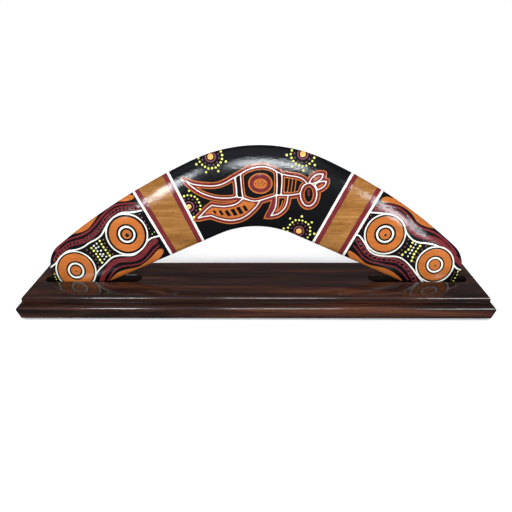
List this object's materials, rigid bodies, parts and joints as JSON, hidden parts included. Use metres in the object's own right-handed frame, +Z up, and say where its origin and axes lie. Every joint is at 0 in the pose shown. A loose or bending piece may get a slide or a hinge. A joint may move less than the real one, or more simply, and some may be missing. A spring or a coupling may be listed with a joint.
{
  "type": "display boomerang",
  "caption": "Painted wooden boomerang that leans in the two round-ended slots of a moulded wooden display stand and lifts out.",
  "frame": {"origin": "centre of the stand's footprint, on the surface that the felt pads rest on", "axes": "+X along the stand, +Y to the back, towards which the boomerang leans, +Z up"},
  "size_m": [0.4422, 0.0758, 0.1471],
  "materials": {
    "painted_wood": "gloss",
    "rosewood": "gloss",
    "felt": "matte"
  },
  "bodies": {
    "stand": {"stand_base": "rosewood", "felt_pad_front_left": "felt", "felt_pad_front_right": "felt", "felt_pad_back_left": "felt", "felt_pad_back_right": "felt"},
    "boomerang": {"boomerang": "painted_wood"}
  },
  "joints": [
    {"name": "boomerang_lift", "type": "slide", "parent": "stand", "child": "boomerang", "axis": [0, 0.225, 0.9744], "range_m": [0, 0.08]}
  ]
}
